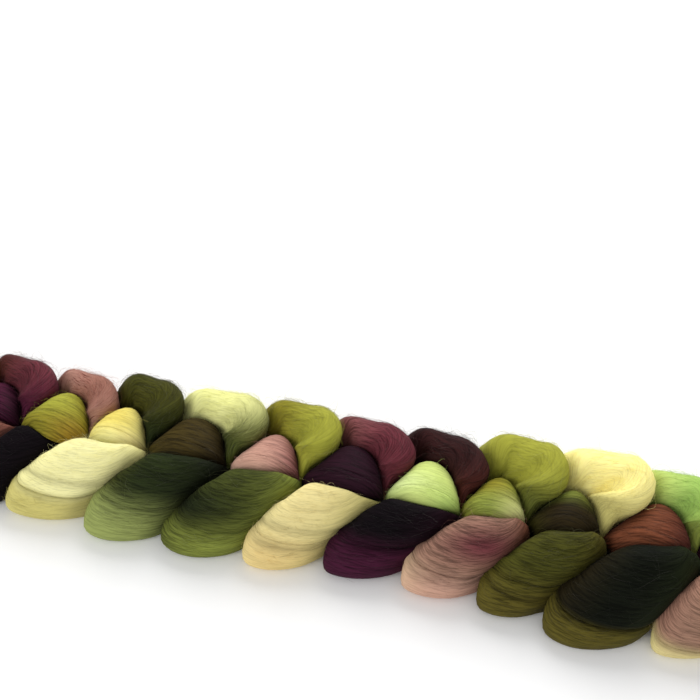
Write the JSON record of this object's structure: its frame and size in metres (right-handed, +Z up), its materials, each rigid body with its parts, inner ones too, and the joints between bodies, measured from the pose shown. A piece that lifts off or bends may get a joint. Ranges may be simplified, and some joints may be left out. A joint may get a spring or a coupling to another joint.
{
  "type": "braid of wool roving",
  "caption": "Soft braid of hand-dyed wool combed top: one doubled length looped into a finger-crocheted chain, lying straight with its bumps up.",
  "frame": {"origin": "middle of the footprint, on the surface that the braid lies on", "axes": "+X along the braid, the way its stitches grow; +Y across it, from the near legs to the far legs; +Z up"},
  "size_m": [0.5961, 0.102, 0.0509],
  "materials": {
    "dyed_wool": "soft combed wool fibre with a satin sheen, space-dyed in cream, lime, olive, dark green, dusty rose, plum and near-black aubergine"
  },
  "bodies": {
    "root": {"roving_braid": "dyed_wool"}
  },
  "joints": []
}
